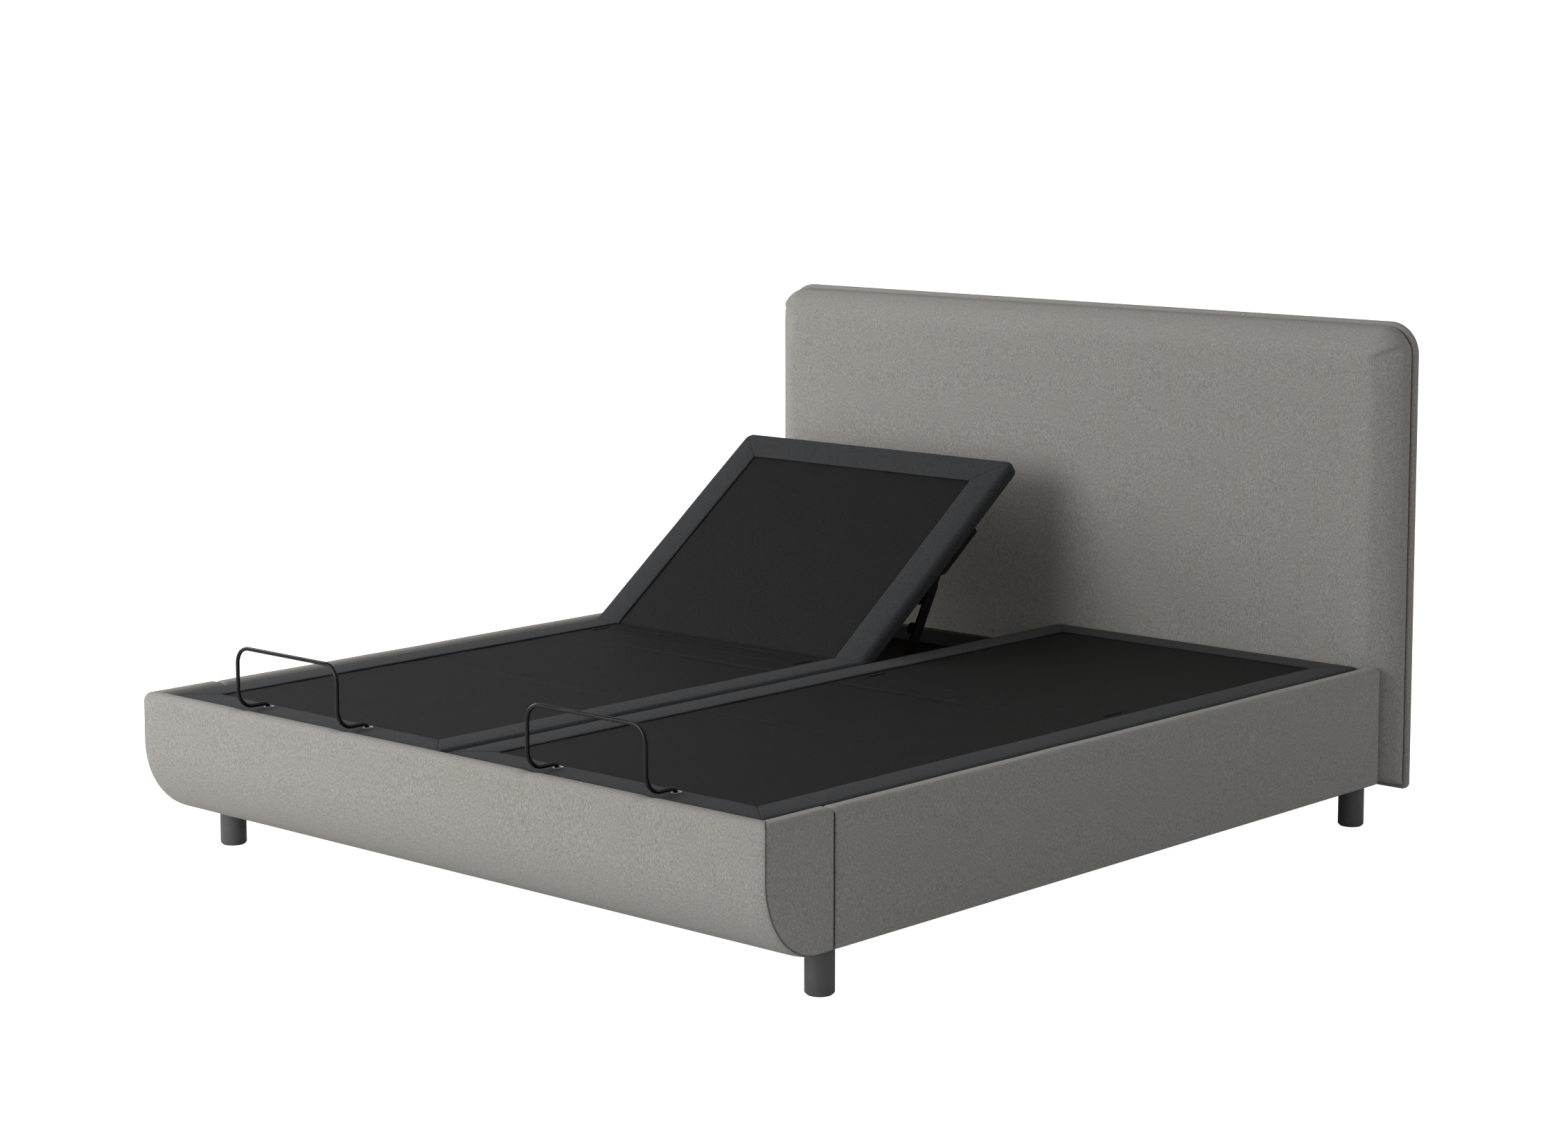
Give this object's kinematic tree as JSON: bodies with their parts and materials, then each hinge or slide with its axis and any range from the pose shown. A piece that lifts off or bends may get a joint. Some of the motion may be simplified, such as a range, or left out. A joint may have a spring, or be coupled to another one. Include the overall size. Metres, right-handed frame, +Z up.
{
  "type": "adjustable bed base",
  "caption": "Double adjustable bed: two motor-lifted decks side by side in an upholstered surround with padded headboard, curved footboard and mattress retainers.",
  "frame": {"origin": "centre of the bounding box in plan, on the floor under the legs", "axes": "+Y from footboard to headboard, along the bed; +X to the right seen from the foot end; +Z up"},
  "size_m": [1.958, 2.228, 1.18],
  "materials": {
    "melange_fabric": "woven",
    "deck_border": "woven",
    "black_steel": "satin",
    "leg_metal": "satin",
    "plywood": "satin",
    "drive_casing": "matte",
    "grommet_plastic": "gloss"
  },
  "bodies": {
    "bed_frame": {"footboard_front": "melange_fabric", "headboard_cushion": "melange_fabric", "headboard_panel": "melange_fabric", "head_cross_rail": "melange_fabric", "footboard_end_left": "melange_fabric", "side_rail_left": "melange_fabric", "leg_front_left": "leg_metal", "leg_rear_left": "leg_metal", "footboard_end_right": "melange_fabric", "side_rail_right": "melange_fabric", "leg_front_right": "leg_metal", "leg_rear_right": "leg_metal", "centre_beam": "plywood", "centre_leg": "leg_metal", "frame_side_inner_left": "black_steel", "frame_side_outer_left": "black_steel", "frame_cross_foot_left": "black_steel", "frame_cross_head_left": "black_steel", "hip_hinge_rod_left": "black_steel", "back_hinge_rod_left": "black_steel", "drive_housing_left": "drive_casing", "seat_board_left": "plywood", "seat_pad_left": "deck_border", "frame_side_inner_right": "black_steel", "frame_side_outer_right": "black_steel", "frame_cross_foot_right": "black_steel", "frame_cross_head_right": "black_steel", "hip_hinge_rod_right": "black_steel", "back_hinge_rod_right": "black_steel", "drive_housing_right": "drive_casing", "seat_board_right": "plywood", "seat_pad_right": "deck_border"},
    "back_left": {"back_board_left": "plywood", "back_pad_left": "deck_border", "back_channel_inner_left": "black_steel", "back_channel_outer_left": "black_steel"},
    "back_lift_left": {"back_lift_frame_left": "black_steel"},
    "thigh_left": {"thigh_board_left": "plywood", "thigh_pad_left": "deck_border", "knee_hinge_rod_left": "black_steel"},
    "calf_left": {"calf_board_left": "plywood", "calf_pad_left": "deck_border", "mattress_retainer_left": "black_steel", "retainer_grommet_inner_left": "grommet_plastic", "retainer_grommet_outer_left": "grommet_plastic"},
    "leg_lift_left": {"leg_lift_frame_left": "black_steel"},
    "back_right": {"back_board_right": "plywood", "back_pad_right": "deck_border", "back_channel_inner_right": "black_steel", "back_channel_outer_right": "black_steel"},
    "back_lift_right": {"back_lift_frame_right": "black_steel"},
    "thigh_right": {"thigh_board_right": "plywood", "thigh_pad_right": "deck_border", "knee_hinge_rod_right": "black_steel"},
    "calf_right": {"calf_board_right": "plywood", "calf_pad_right": "deck_border", "mattress_retainer_right": "black_steel", "retainer_grommet_inner_right": "grommet_plastic", "retainer_grommet_outer_right": "grommet_plastic"},
    "leg_lift_right": {"leg_lift_frame_right": "black_steel"}
  },
  "joints": [
    {"name": "back_tilt_left", "type": "hinge", "parent": "bed_frame", "child": "back_left", "pos_m": [-0.455, 0.281, 0.331], "axis": [1, 0, 0], "range_deg": [-36.7, 23.3]},
    {"name": "back_lift_left_turn", "type": "hinge", "parent": "bed_frame", "child": "back_lift_left", "pos_m": [-0.455, 0.372, 0.3], "axis": [1, 0, 0], "range_deg": [-43.04, 27.36]},
    {"name": "thigh_tilt_left", "type": "hinge", "parent": "bed_frame", "child": "thigh_left", "pos_m": [-0.455, -0.178, 0.331], "axis": [-1, 0, 0], "range_deg": [0, 35]},
    {"name": "calf_tilt_left", "type": "hinge", "parent": "thigh_left", "child": "calf_left", "pos_m": [-0.455, -0.598, 0.331], "axis": [1, 0, 0], "range_deg": [0, 56.1]},
    {"name": "leg_lift_left_turn", "type": "hinge", "parent": "bed_frame", "child": "leg_lift_left", "pos_m": [-0.455, -0.258, 0.3], "axis": [-1, 0, 0], "range_deg": [0, 44.2]},
    {"name": "back_tilt_right", "type": "hinge", "parent": "bed_frame", "child": "back_right", "pos_m": [0.455, 0.281, 0.331], "axis": [1, 0, 0], "range_deg": [0, 60]},
    {"name": "back_lift_right_turn", "type": "hinge", "parent": "bed_frame", "child": "back_lift_right", "pos_m": [0.455, 0.372, 0.3], "axis": [1, 0, 0], "range_deg": [0, 70.3]},
    {"name": "thigh_tilt_right", "type": "hinge", "parent": "bed_frame", "child": "thigh_right", "pos_m": [0.455, -0.178, 0.331], "axis": [-1, 0, 0], "range_deg": [0, 35]},
    {"name": "calf_tilt_right", "type": "hinge", "parent": "thigh_right", "child": "calf_right", "pos_m": [0.455, -0.598, 0.331], "axis": [1, 0, 0], "range_deg": [0, 56.1]},
    {"name": "leg_lift_right_turn", "type": "hinge", "parent": "bed_frame", "child": "leg_lift_right", "pos_m": [0.455, -0.258, 0.3], "axis": [-1, 0, 0], "range_deg": [0, 44.2]}
  ],
  "couplings": [
    {"joint": "back_lift_left_turn", "follows": "back_tilt_left", "ratio": 1.17},
    {"joint": "calf_tilt_left", "follows": "thigh_tilt_left", "ratio": 1.6},
    {"joint": "leg_lift_left_turn", "follows": "thigh_tilt_left", "ratio": 1.26},
    {"joint": "back_lift_right_turn", "follows": "back_tilt_right", "ratio": 1.17},
    {"joint": "calf_tilt_right", "follows": "thigh_tilt_right", "ratio": 1.6},
    {"joint": "leg_lift_right_turn", "follows": "thigh_tilt_right", "ratio": 1.26}
  ]
}
